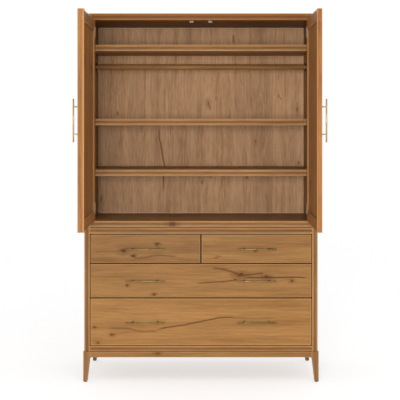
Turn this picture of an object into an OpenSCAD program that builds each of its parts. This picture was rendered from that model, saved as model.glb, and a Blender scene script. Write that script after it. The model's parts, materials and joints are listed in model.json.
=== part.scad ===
// Two-part armoire: an open cabinet with a pair of inset doors on a chest of four drawers.
// Millimetres. Z is up and the front faces -Y. The doors are drawn standing open.
// X = 0 is the middle of the width; front_y is the plane of the carcase's front edges.

/* [Carcase] */
// Width of the two cabinets
body_w = 1260; // [1100:10:1500]
// Depth of the two cabinets, front edge to back edge
body_d = 498; // [440:2:600]
// Thickness of the side panels
side_t = 30; // [22:1:38]
// Thickness of the back panels
back_t = 12; // [6:1:16]
// Distance of the back panels in from the back edge
back_inset = 24; // [6:1:40]
// Depth of the bead groove along every front edge
bead_depth = 2; // [1:0.5:3]
// Width of the bead groove
bead_w = 13; // [6:1:16]

/* [Upper cabinet] */
// Height of the opening behind the doors
door_opening_h = 1084.5; // [950:0.5:1320]
// Thickness of the cabinet's top panel
top_t = 36; // [28:1:44]
// Thickness of the cabinet's floor panel
floor_t = 34; // [28:1:44]
// Thickness of a shelf
shelf_t = 34; // [22:1:38]
// Clear height above the upper shelf
shelf_upper_drop = 130.5; // [110:0.5:240]
// Height of the middle shelf's underside above the floor panel
shelf_middle_h = 517; // [400:1:620]
// Height of the lower shelf's underside above the floor panel
shelf_lower_h = 241; // [160:1:330]
// Clear space between the closed doors and the shelves
shelf_clear = 4; // [2:1:40]
// Diameter of the hanging rail
rail_d = 30; // [22:1:34]
// Drop of the hanging rail's centre below the upper shelf
rail_drop = 76; // [50:1:110]

/* [Doors] */
// Thickness of a door's frame
door_t = 25; // [22:1:28]
// Width of the stiles and rails of a door
door_frame_w = 56; // [44:1:80]
// Thickness of a door's panel
door_panel_t = 11; // [8:1:12]
// Depth of the panel behind the frame on the inner face
door_recess = 8; // [5:1:9]
// Gap between a door and the carcase
door_gap = 2; // [1.5:0.5:3]
// Gap between the two closed doors
door_meeting_gap = 3; // [2:0.5:4]
// Thickness of the closing strip on the left door
strip_t = 7; // [4:1:8]
// Width of the closing strip
strip_w = 30; // [20:1:38]
// How far the left door stands open, in degrees from closed
door_left_open = 90; // [60:1:100]
// How far the right door stands open, in degrees from closed
door_right_open = 89; // [60:1:100]

/* [Hinges] */
// Height of a hinge
hinge_h = 58; // [46:1:76]
// Distance of a hinge's centre from the end of the opening
hinge_inset = 70; // [50:1:120]
// Diameter of the hinge pin
pin_d = 3; // [2.4:0.2:4]
// Diameter of the hinge barrel
barrel_d = 7; // [6:0.5:8]
// Thickness of a hinge leaf
leaf_t = 1.6; // [1.2:0.1:1.8]

/* [Chest] */
// Height of the drawer opening
drawer_opening_h = 605; // [540:1:730]
// Thickness of the chest's top panel
chest_top_t = 36; // [28:1:44]
// Thickness of the chest's bottom panel
chest_bottom_t = 30; // [24:1:40]
// Height of the two small drawer fronts in the top row
top_front_h = 152; // [140:1:180]
// Height of the middle drawer front
middle_front_h = 180; // [150:1:216]
// Gap between one drawer front and the next
front_gap = 6.5; // [4:0.5:8]
// Gap between the two top drawer fronts
middle_gap = 8; // [6:1:12]
// Gap between a drawer front and the carcase
front_edge_gap = 4; // [3:0.5:5]
// Thickness of a drawer front
front_t = 22; // [18:1:25]
// Space between the drawer boxes and the back panel
box_back_gap = 40; // [20:1:80]
// Thickness of the drawer sides and backs
box_t = 12; // [10:1:15]
// Thickness of the drawer bottoms
box_bottom_t = 6; // [5:1:9]
// Space for a slide between a drawer box and the carcase
slide_space = 13; // [12.5:0.5:16]
// Height of a slide channel
slide_h = 35; // [30:1:40]

/* [Handles] */
// Length of a handle's bar
bar_len = 212; // [160:2:240]
// Diameter of a handle's bar
bar_d = 8; // [6:0.5:10]
// Distance between a handle's two posts
post_span = 134; // [96:1:150]
// Diameter of a handle's posts
post_d = 7; // [5:0.5:9]
// Distance from the face of the wood to the middle of the bar
bar_off = 25; // [20:1:30]
// Distance of a door handle from the door's free edge
door_handle_in = 50; // [36:1:54]

/* [Base] */
// Height of the clear space under the base frame
leg_h = 133; // [100:1:180]
// Height of the base frame's rails
base_rail_h = 30; // [24:1:45]
// Thickness of the base frame's rails
base_rail_t = 24; // [18:1:30]
// Projection of the base beyond the cabinets on every side
base_over = 5; // [2:1:12]
// Width of a leg at the top
leg_top = 36; // [32:1:50]
// Width of a leg at the foot
leg_foot = 22; // [20:1:30]
// Radius between a leg and the rail above it
leg_fillet = 12; // [6:1:18]
// Height of the glide under each leg
glide_h = 3; // [2:0.5:6]
// Diameter of a glide
glide_d = 18; // [12:1:20]

/* [Hidden] */
$fn = 48;

// Small overrun that lets a cut pass clean through a face
cut = 1;

// Carcase, measured from the front plane
half_w = body_w / 2;
inner_half = half_w - side_t;
back_y = body_d - back_inset - back_t;

// Heights of the panels
chest_z = leg_h + base_rail_h;
opening_z = chest_z + chest_bottom_t;
chest_top_z = opening_z + drawer_opening_h;
cabinet_z = chest_top_z + chest_top_t;
floor_z = cabinet_z + floor_t;
top_z = floor_z + door_opening_h;
total_h = top_z + top_t;

// Doors, drawn closed with the outer face in the front plane
door_edge = inner_half - door_gap;
door_w = door_edge - door_meeting_gap / 2;
door_h = door_opening_h - 2 * door_gap;
door_z = floor_z + door_gap;
leaf_gap = 0.2;
pin_x = inner_half - door_gap / 2;
barrel_clear = 1;
pin_y = -(barrel_d / 2 + barrel_clear);
panel_front = door_t - door_recess - door_panel_t;

// The front plane stands where the open doors and the base balance about Y = 0
door_reach = door_w + (pin_x - door_edge) - pin_y;
front_y = (door_reach - (body_d + base_over)) / 2;

// Hinges
knuckle_gap = 0.4;
knuckle_h = hinge_h / 3;
pin_fit = 0.05;
notch_r = barrel_d / 2 + 0.3;
frame_leaf_len = 40;
wrap_w = 34;
wrap_t = 2.4;
pin_head_d = 6;
pin_head_h = 1.6;
hinge_zs = [floor_z + hinge_inset - hinge_h / 2, top_z - hinge_inset - hinge_h / 2];

// Drawers
box_len = back_y - front_t - box_back_gap;
box_reach = inner_half - slide_space;
divider_t = 22;
divider_front = front_t + 2;
cross_rail_t = 22;
cross_rail_w = 60;
cross_rail_z = top_row_z() - cross_rail_t + front_gap;
box_lower = 12;
box_upper = 22;
box_floor_up = 10;
channel_t = 1.5;
channel_w = slide_space - 2.5;
slide_play = 1.5;
slide_start = front_t + 4;
slide_len = box_len - 10;

// Shelves
shelf_setback = door_t + strip_t + shelf_clear;
shelf_upper_h = door_opening_h - shelf_upper_drop - shelf_t;

// Small fittings
shelf_play = 1;
shelf_pin_r = 2.5;
shelf_pin_in = 10;
shelf_pin_out = 9;
shelf_pin_front = shelf_setback + 44;
shelf_pin_back = back_y - 42;
socket_r = rail_d / 2 + 7;
socket_t = 14;
rail_fit = 0.15;
rail_y = (shelf_setback + back_y) / 2;
catch_x = 51;
catch_w = 22;
catch_h = 12;
catch_d = 18;
strike_t = 1.2;
catch_gap = 0.8;
bolt_xs = [-30, 30];
bolt_ys = [76, back_y - 62];
bolt_r = 3;
bolt_head_r = 7;
bolt_head_h = 3;
bolt_len = floor_t + chest_top_t - 8;
hole_fit = 0.15;
handle_foot_r = post_d / 2 + 2.5;
handle_foot_h = 2;

function top_row_z() = chest_top_z - front_edge_gap - top_front_h;
function middle_row_z() = top_row_z() - front_gap - middle_front_h;
function bottom_row_z() = opening_z + front_edge_gap;
function bottom_front_h() = middle_row_z() - front_gap - bottom_row_z();

// Each row of drawers: its height above the floor and the height of its front
top_row = [top_row_z(), top_front_h];
middle_row = [middle_row_z(), middle_front_h];
bottom_row = [bottom_row_z(), bottom_front_h()];

// Left and right edges of the three widths of drawer front
full_span = [-inner_half + front_edge_gap, inner_half - front_edge_gap];
left_span = [full_span[0], -middle_gap / 2];
right_span = [middle_gap / 2, full_span[1]];

// The handles stand in the middle of the two top fronts, and in line on the rows below
handle_x = (right_span[0] + right_span[1]) / 2;

// Left and right faces of the drawer boxes
full_box = [-box_reach, box_reach];
left_box = [-box_reach, -divider_t / 2 - slide_space];
right_box = [divider_t / 2 + slide_space, box_reach];

oak = "#b5834f";
oak_pale = "#c59563";
oak_grey = "#96765a";
oak_inside = "#7d5430";
brass = "#a5854f";
steel = "#b9b7b0";
dark = "#3b342c";

// ---------- placing ----------

// Moves a piece from the front plane to its place
module placed() {
    translate([0, front_y, 0]) children();
}

// Swings the left door and what is on it to where it stands open
module on_left_door() {
    placed()
        translate([-pin_x, pin_y, 0])
            rotate([0, 0, -door_left_open])
                translate([pin_x, -pin_y, 0])
                    children();
}

// The right door is the left one's mirror image
module on_right_door() {
    placed()
        translate([pin_x, pin_y, 0])
            rotate([0, 0, door_right_open])
                translate([-pin_x, -pin_y, 0])
                    mirror([1, 0, 0])
                        children();
}

// ---------- boards ----------

// A board given by its lowest corner and its size
module board(at, size) {
    translate(at) cube(size);
}

// A level board with a bead groove along its front edge
module beaded_shelf(at, size) {
    difference() {
        board(at, size);
        board(
            [at[0] - cut, at[1] - cut, at[2] + (size[2] - bead_w) / 2],
            [size[0] + 2 * cut, bead_depth + cut, bead_w]
        );
    }
}

// An upright board with a bead groove down its front edge
module beaded_side(at, size) {
    difference() {
        board(at, size);
        board(
            [at[0] + (size[0] - bead_w) / 2, at[1] - cut, at[2] - cut],
            [bead_w, bead_depth + cut, size[2] + 2 * cut]
        );
    }
}

// ---------- base ----------

// Leg outline seen from the front, with the outer face on the left
module leg_outline() {
    fillet_z = leg_h - leg_fillet;
    polygon(concat(
        [[0, glide_h], [leg_foot, glide_h], [leg_top - 1, fillet_z]],
        [for (a = [15:15:90]) [leg_top + leg_fillet * (1 - cos(a)), fillet_z + leg_fillet * sin(a)]],
        [[leg_top, leg_h], [leg_top, chest_z], [0, chest_z]]
    ));
}

// A leg with its outer corner at the origin, tapered on its two inner faces
module leg() {
    reach = leg_top + leg_fillet;
    intersection() {
        translate([0, reach, 0]) rotate([90, 0, 0]) linear_extrude(reach) leg_outline();
        rotate([90, 0, 90]) linear_extrude(reach) leg_outline();
    }
}

// The base's four corners, and the way each leg faces
module at_corner(side, back) {
    x = side * (half_w + base_over);
    y = back == 1 ? body_d + base_over : -base_over;
    placed() translate([x, y, 0]) mirror([side > 0 ? 1 : 0, 0, 0]) mirror([0, back, 0]) children();
}

module leg_front_left() color(oak) at_corner(-1, 0) leg();
module leg_front_right() color(oak) at_corner(1, 0) leg();
module leg_back_left() color(oak) at_corner(-1, 1) leg();
module leg_back_right() color(oak) at_corner(1, 1) leg();

module leg_glides() {
    color(dark)
        for (side = [-1, 1], back = [0, 1])
            at_corner(side, back)
                translate([leg_foot / 2, leg_foot / 2, 0]) cylinder(d = glide_d, h = glide_h);
}

module base_rails() {
    long = body_w + 2 * base_over - 2 * leg_top;
    deep = body_d + 2 * base_over - 2 * leg_top;
    inner_x = half_w + base_over - leg_top;
    color(oak) placed() {
        board([-long / 2, -base_over, leg_h], [long, base_rail_t, base_rail_h]);
        board([-long / 2, body_d + base_over - base_rail_t, leg_h], [long, base_rail_t, base_rail_h]);
        for (side = [-1, 1])
            board(
                [side * (inner_x + leg_top - base_rail_t / 2) - base_rail_t / 2, leg_top - base_over, leg_h],
                [base_rail_t, deep, base_rail_h]
            );
    }
}

// ---------- chest ----------

module chest_side(side) {
    color(oak) placed()
        beaded_side([side > 0 ? inner_half : -half_w, 0, chest_z], [side_t, body_d, cabinet_z - chest_z]);
}

module chest_side_left() chest_side(-1);
module chest_side_right() chest_side(1);

module chest_bottom() {
    color(oak) placed() beaded_shelf([-inner_half, 0, chest_z], [2 * inner_half, body_d, chest_bottom_t]);
}

module chest_top() {
    color(oak) placed() difference() {
        beaded_shelf([-inner_half, 0, chest_top_z], [2 * inner_half, body_d, chest_top_t]);
        bolt_holes(hole_fit);
    }
}

module chest_back() {
    color(oak_grey) placed()
        board([-inner_half, back_y, opening_z], [2 * inner_half, back_t, drawer_opening_h]);
}

module chest_divider() {
    base_z = cross_rail_z + cross_rail_t;
    deep = back_y - divider_front;
    color(oak_inside) placed()
        board([-divider_t / 2, divider_front, base_z], [divider_t, deep, chest_top_z - base_z]);
}

module chest_cross_rails() {
    color(oak_inside) placed()
        for (y = [divider_front, back_y - cross_rail_w])
            board([-inner_half, y, cross_rail_z], [2 * inner_half, cross_rail_w, cross_rail_t]);
}

// ---------- drawer slides ----------

// Lower face of a drawer's box and the height of its slides' centre line
function box_z(row) = row[0] + box_lower;
function box_h(row) = row[1] - box_lower - box_upper;
function slide_z(row) = box_z(row) + box_h(row) / 2;

// A channel with its web on x = 0 and its flanges towards +X
module channel(z, height, width) {
    difference() {
        board([0, 0, z - height / 2], [width, slide_len, height]);
        board(
            [channel_t, -cut, z - height / 2 + channel_t],
            [width, slide_len + 2 * cut, height - 2 * channel_t]
        );
    }
}

// The fixed channels on both sides of one drawer's box
module fixed_pair(row, box) {
    translate([box[0] - slide_space, slide_start, 0]) channel(slide_z(row), slide_h, channel_w);
    translate([box[1] + slide_space, slide_start, 0])
        mirror([1, 0, 0]) channel(slide_z(row), slide_h, channel_w);
}

// The moving rails on a drawer's box, which run inside the fixed channels
module moving_pair(row, box) {
    height = slide_h - 2 * channel_t - 2 * slide_play;
    width = slide_space - channel_t - slide_play;
    translate([box[0], slide_start, 0]) mirror([1, 0, 0]) channel(slide_z(row), height, width);
    translate([box[1], slide_start, 0]) channel(slide_z(row), height, width);
}

module slide_channels() {
    color(steel) placed() {
        fixed_pair(top_row, left_box);
        fixed_pair(top_row, right_box);
        fixed_pair(middle_row, full_box);
        fixed_pair(bottom_row, full_box);
    }
}

// ---------- drawers ----------

module drawer_front(row, span) {
    color(oak_pale) placed() board([span[0], 0, row[0]], [span[1] - span[0], front_t, row[1]]);
}

// An open box of two sides, a back, an inner front and a bottom
module drawer_box(row, box) {
    width = box[1] - box[0];
    color(oak_grey) placed() translate([box[0], front_t, box_z(row)]) difference() {
        cube([width, box_len, box_h(row)]);
        translate([box_t, box_t, box_floor_up + box_bottom_t])
            cube([width - 2 * box_t, box_len - 2 * box_t, box_h(row)]);
        translate([box_t, box_t, -cut])
            cube([width - 2 * box_t, box_len - 2 * box_t, box_floor_up + cut]);
    }
}

module drawer_slides(row, box) {
    color(steel) placed() moving_pair(row, box);
}

// A bar handle lying along X, with its face plane at y = 0 and its bar in front
module bar_handle() {
    translate([-bar_len / 2, -bar_off, 0]) rotate([0, 90, 0]) cylinder(d = bar_d, h = bar_len);
    for (side = [-1, 1])
        translate([side * post_span / 2, 0, 0]) rotate([90, 0, 0]) {
            cylinder(d = post_d, h = bar_off);
            cylinder(r = handle_foot_r, h = handle_foot_h);
        }
}

module drawer_handles(row, xs) {
    color(brass) placed()
        for (x = xs)
            translate([x, 0, row[0] + row[1] / 2]) bar_handle();
}

module drawer_top_left_front() drawer_front(top_row, left_span);
module drawer_top_left_box() drawer_box(top_row, left_box);
module drawer_top_left_handle() drawer_handles(top_row, [-handle_x]);
module drawer_top_left_slides() drawer_slides(top_row, left_box);

module drawer_top_right_front() drawer_front(top_row, right_span);
module drawer_top_right_box() drawer_box(top_row, right_box);
module drawer_top_right_handle() drawer_handles(top_row, [handle_x]);
module drawer_top_right_slides() drawer_slides(top_row, right_box);

module drawer_middle_front() drawer_front(middle_row, full_span);
module drawer_middle_box() drawer_box(middle_row, full_box);
module drawer_middle_handles() drawer_handles(middle_row, [-handle_x, handle_x]);
module drawer_middle_slides() drawer_slides(middle_row, full_box);

module drawer_bottom_front() drawer_front(bottom_row, full_span);
module drawer_bottom_box() drawer_box(bottom_row, full_box);
module drawer_bottom_handles() drawer_handles(bottom_row, [-handle_x, handle_x]);
module drawer_bottom_slides() drawer_slides(bottom_row, full_box);

// ---------- upper cabinet ----------

// Holes for the pins of the three shelves, in both side panels
function shelf_zs() = [floor_z + shelf_upper_h, floor_z + shelf_middle_h, floor_z + shelf_lower_h];

module pins_at(side, radius, inside, outside) {
    for (z = shelf_zs(), y = [shelf_pin_front, shelf_pin_back])
        translate([side * (inner_half - outside), y, z - shelf_pin_r])
            rotate([0, side * 90, 0])
                cylinder(r = radius, h = inside + outside);
}

module cabinet_side(side) {
    leaf_in = leaf_gap / 2 + leaf_t - door_gap / 2;
    color(oak) placed() difference() {
        beaded_side([side > 0 ? inner_half : -half_w, 0, cabinet_z], [side_t, body_d, total_h - cabinet_z]);
        pins_at(side, shelf_pin_r + hole_fit, shelf_pin_in, cut);
        for (z = hinge_zs)
            board(
                [side > 0 ? inner_half - cut : -inner_half - leaf_in, -cut, z],
                [leaf_in + cut, frame_leaf_len + cut, hinge_h]
            );
    }
}

module cabinet_side_left() cabinet_side(-1);
module cabinet_side_right() cabinet_side(1);

module cabinet_top() {
    color(oak) placed() beaded_shelf([-inner_half, 0, top_z], [2 * inner_half, body_d, top_t]);
}

module cabinet_floor() {
    color(oak) placed() difference() {
        beaded_shelf([-inner_half, 0, cabinet_z], [2 * inner_half, body_d, floor_t]);
        bolt_holes(hole_fit);
    }
}

module cabinet_back() {
    color(oak_grey) placed() board([-inner_half, back_y, floor_z], [2 * inner_half, back_t, door_opening_h]);
}

module shelf(z) {
    color(oak) placed()
        beaded_shelf(
            [-inner_half + shelf_play, shelf_setback, z],
            [2 * (inner_half - shelf_play), back_y - shelf_setback - shelf_play, shelf_t]
        );
}

module shelf_upper() shelf(shelf_zs()[0]);
module shelf_middle() shelf(shelf_zs()[1]);
module shelf_lower() shelf(shelf_zs()[2]);

module shelf_pins() {
    color(steel) placed()
        for (side = [-1, 1])
            pins_at(side, shelf_pin_r, shelf_pin_in, shelf_pin_out);
}

function rail_z() = shelf_zs()[0] - rail_drop;

module hanging_rail() {
    color(oak) placed()
        translate([-inner_half + shelf_play, rail_y, rail_z()])
            rotate([0, 90, 0])
                cylinder(d = rail_d, h = 2 * (inner_half - shelf_play));
}

module rail_sockets() {
    color(dark) placed()
        for (side = [-1, 1])
            translate([side * inner_half, rail_y, rail_z()]) rotate([0, -side * 90, 0]) difference() {
                cylinder(r = socket_r, h = socket_t);
                translate([0, 0, -cut]) cylinder(r = rail_d / 2 + rail_fit, h = socket_t + 2 * cut);
            }
}

// Magnetic catches under the top panel, one for each door
module door_catches() {
    color(steel) placed()
        for (side = [-1, 1])
            board(
                [side * catch_x - catch_w / 2, door_t + strike_t + catch_gap, top_z - catch_h],
                [catch_w, catch_d, catch_h]
            );
}

// Bolts that join the cabinet to the chest
module bolt_shape(grow) {
    head_h = bolt_head_h + (grow > 0 ? cut : 0);
    translate([0, 0, floor_z - bolt_head_h]) cylinder(r = bolt_head_r + grow, h = head_h);
    translate([0, 0, floor_z - bolt_len - grow]) cylinder(r = bolt_r + grow, h = bolt_len + grow);
}

module bolt_holes(grow) {
    for (x = bolt_xs, y = bolt_ys)
        translate([x, y, 0]) bolt_shape(grow);
}

module cabinet_bolts() color(dark) placed() bolt_holes(0);

// ---------- hinges ----------

// Knuckles of one leaf: the outer two when outer is true, the middle one when it is false
module knuckle_spaces(outer, radius, gap) {
    spans = outer
        ? [[0, knuckle_h - gap / 2], [2 * knuckle_h + gap / 2, hinge_h]]
        : [[knuckle_h + gap / 2, 2 * knuckle_h - gap / 2]];
    for (span = spans)
        translate([-pin_x, pin_y, span[0]]) cylinder(r = radius, h = span[1] - span[0]);
}

// The bore for the pin through a whole hinge
module pin_bore() {
    translate([-pin_x, pin_y, -cut]) cylinder(d = pin_d + 2 * pin_fit, h = hinge_h + 2 * cut);
}

// Leaf on the side panel, for the left door
module frame_leaf() {
    difference() {
        union() {
            board([-pin_x - leaf_gap / 2 - leaf_t, pin_y, 0], [leaf_t, frame_leaf_len - pin_y, hinge_h]);
            knuckle_spaces(true, barrel_d / 2, knuckle_gap);
        }
        knuckle_spaces(false, notch_r, -knuckle_gap);
        pin_bore();
    }
}

// Leaf on the door's edge, wrapped on to its inner face, drawn with the door closed
module door_leaf() {
    difference() {
        union() {
            board([-pin_x + leaf_gap / 2, pin_y, 0], [leaf_t, door_t + wrap_t - pin_y, hinge_h]);
            board([-pin_x + leaf_gap / 2, door_t, 0], [wrap_w, wrap_t, hinge_h]);
            knuckle_spaces(false, barrel_d / 2, knuckle_gap);
        }
        knuckle_spaces(true, notch_r, -knuckle_gap);
        pin_bore();
    }
}

module hinge_frame_leaves() {
    color(steel) placed()
        for (side = [0, 1], z = hinge_zs)
            mirror([side, 0, 0]) translate([0, 0, z]) frame_leaf();
}

module hinge_pins() {
    color(steel) placed()
        for (side = [-1, 1], z = hinge_zs)
            translate([side * pin_x, pin_y, z]) {
                cylinder(d = pin_d, h = hinge_h);
                translate([0, 0, hinge_h]) cylinder(d = pin_head_d, h = pin_head_h);
                translate([0, 0, -pin_head_h]) cylinder(d = pin_head_d, h = pin_head_h);
            }
}

// ---------- doors, each drawn as the closed left door ----------

// The hinge stile and the free stile, with the hinge leaves let into the first
module door_stiles() {
    leaf_in = leaf_gap / 2 + leaf_t - door_gap / 2;
    difference() {
        board([-door_edge, 0, door_z], [door_frame_w, door_t, door_h]);
        for (z = hinge_zs)
            board([-door_edge - cut, -cut, z], [leaf_in + cut, door_t + 2 * cut, hinge_h]);
    }
    board([door_w - door_edge - door_frame_w, 0, door_z], [door_frame_w, door_t, door_h]);
}

module door_rails() {
    for (z = [door_z, door_z + door_h - door_frame_w])
        board([door_frame_w - door_edge, 0, z], [door_w - 2 * door_frame_w, door_t, door_frame_w]);
}

module door_panel() {
    board(
        [door_frame_w - door_edge, panel_front, door_z + door_frame_w],
        [door_w - 2 * door_frame_w, door_panel_t, door_h - 2 * door_frame_w]
    );
}

module closing_strip() {
    board([door_w - door_edge - strip_w, door_t, door_z], [strip_w, strip_t, door_h]);
}

module door_handle() {
    translate([door_w - door_edge - door_handle_in, 0, door_z + door_h / 2]) rotate([0, 90, 0]) bar_handle();
}

module door_strike() {
    board([-catch_x - catch_w / 2, door_t, top_z - catch_h - 1], [catch_w, strike_t, catch_h - 3]);
}

module door_leaves() {
    for (z = hinge_zs)
        translate([0, 0, z]) door_leaf();
}

module door_left_stiles() color(oak) on_left_door() door_stiles();
module door_left_rails() color(oak) on_left_door() door_rails();
module door_left_panel() color(oak_pale) on_left_door() door_panel();
module door_left_closing_strip() color(oak) on_left_door() closing_strip();
module door_left_handle() color(brass) on_left_door() door_handle();
module door_left_strike() color(steel) on_left_door() door_strike();
module door_left_hinge_leaves() color(steel) on_left_door() door_leaves();

module door_right_stiles() color(oak) on_right_door() door_stiles();
module door_right_rails() color(oak) on_right_door() door_rails();
module door_right_panel() color(oak_pale) on_right_door() door_panel();
module door_right_handle() color(brass) on_right_door() door_handle();
module door_right_strike() color(steel) on_right_door() door_strike();
module door_right_hinge_leaves() color(steel) on_right_door() door_leaves();

base_rails();
leg_front_left();
leg_front_right();
leg_back_left();
leg_back_right();
leg_glides();
chest_side_left();
chest_side_right();
chest_top();
chest_bottom();
chest_back();
chest_divider();
chest_cross_rails();
slide_channels();
cabinet_side_left();
cabinet_side_right();
cabinet_top();
cabinet_floor();
cabinet_back();
shelf_upper();
shelf_middle();
shelf_lower();
shelf_pins();
hanging_rail();
rail_sockets();
door_catches();
hinge_frame_leaves();
hinge_pins();
cabinet_bolts();
door_left_stiles();
door_left_rails();
door_left_panel();
door_left_closing_strip();
door_left_handle();
door_left_strike();
door_left_hinge_leaves();
door_right_stiles();
door_right_rails();
door_right_panel();
door_right_handle();
door_right_strike();
door_right_hinge_leaves();
drawer_top_left_front();
drawer_top_left_box();
drawer_top_left_handle();
drawer_top_left_slides();
drawer_top_right_front();
drawer_top_right_box();
drawer_top_right_handle();
drawer_top_right_slides();
drawer_middle_front();
drawer_middle_box();
drawer_middle_handles();
drawer_middle_slides();
drawer_bottom_front();
drawer_bottom_box();
drawer_bottom_handles();
drawer_bottom_slides();
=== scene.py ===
"""Looks of the armoire: eased oak boards with grooved edges, plank backs, brass bars and steel hinges."""
import json
import logging
import math
import random
from dataclasses import dataclass, field
from enum import Enum
from typing import Callable, Sequence

import bmesh
import bpy
from mathutils import Matrix, Vector


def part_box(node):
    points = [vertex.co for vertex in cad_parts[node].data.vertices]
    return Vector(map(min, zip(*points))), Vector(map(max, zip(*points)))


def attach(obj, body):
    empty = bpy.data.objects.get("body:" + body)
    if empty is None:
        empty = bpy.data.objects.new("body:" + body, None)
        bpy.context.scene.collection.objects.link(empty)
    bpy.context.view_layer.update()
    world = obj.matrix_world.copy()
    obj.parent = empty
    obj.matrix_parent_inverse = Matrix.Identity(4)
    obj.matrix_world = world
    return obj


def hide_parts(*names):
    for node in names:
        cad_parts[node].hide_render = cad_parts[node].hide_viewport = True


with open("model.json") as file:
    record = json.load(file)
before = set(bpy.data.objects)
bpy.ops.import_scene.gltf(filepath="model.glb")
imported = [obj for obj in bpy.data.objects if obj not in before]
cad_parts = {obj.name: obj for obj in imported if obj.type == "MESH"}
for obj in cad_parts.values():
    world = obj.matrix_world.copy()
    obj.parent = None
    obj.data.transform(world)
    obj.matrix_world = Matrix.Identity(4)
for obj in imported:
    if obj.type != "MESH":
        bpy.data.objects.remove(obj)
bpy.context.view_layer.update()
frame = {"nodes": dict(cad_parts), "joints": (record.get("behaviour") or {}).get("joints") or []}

log = logging.getLogger("armoire")

MM = 0.001
Number = float | int
Pair = tuple[float, float]
Triple = tuple[float, float, float]
Outline = list[Triple]
Socket = bpy.types.NodeSocket
Material = bpy.types.Material


def scaled(colour: Triple, red: float, green: float, blue: float) -> Triple:
    """A colour with each of its parts multiplied."""
    return colour[0] * red, colour[1] * green, colour[2] * blue


# ---------------------------------------------------------------- shader maths


def operation(name: str, turned: bool = False) -> Callable[..., "Value"]:
    """A method that adds one Math node.

    Args:
        name: the node's operation.
        turned: whether the other value comes first, as it does when a number is on the left.

    Returns:
        The method, which takes the other value if the operation has two.
    """

    def method(self: "Value", *other: "Value | Number") -> "Value":
        """Adds the node and returns its result."""
        given = (*other, self) if turned else (self, *other)
        return self.shader.value("ShaderNodeMath", {"operation": name}, dict(enumerate(given)))

    return method


class Value:
    """A number socket of a shader, which takes part in Python arithmetic on either side of a number."""

    __add__, __radd__ = operation("ADD"), operation("ADD", turned=True)
    __sub__, __rsub__ = operation("SUBTRACT"), operation("SUBTRACT", turned=True)
    __mul__, __rmul__ = operation("MULTIPLY"), operation("MULTIPLY", turned=True)
    __truediv__, __rtruediv__ = operation("DIVIDE"), operation("DIVIDE", turned=True)
    __abs__, root, floor = operation("ABSOLUTE"), operation("SQRT"), operation("FLOOR")
    highest = operation("MAXIMUM")

    def __init__(self, shader: "Shader", socket: Socket) -> None:
        """Wraps a socket of a shader."""
        self.shader = shader
        self.socket = socket

    def step(self, start: Number, end: Number) -> "Value":
        """Rises smoothly from 0 at start to 1 at end; start may be above end."""
        settings = {"interpolation_type": "SMOOTHSTEP"}
        inputs = {"Value": self, "From Min": start, "From Max": end}
        return self.shader.value("ShaderNodeMapRange", settings, inputs)


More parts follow.
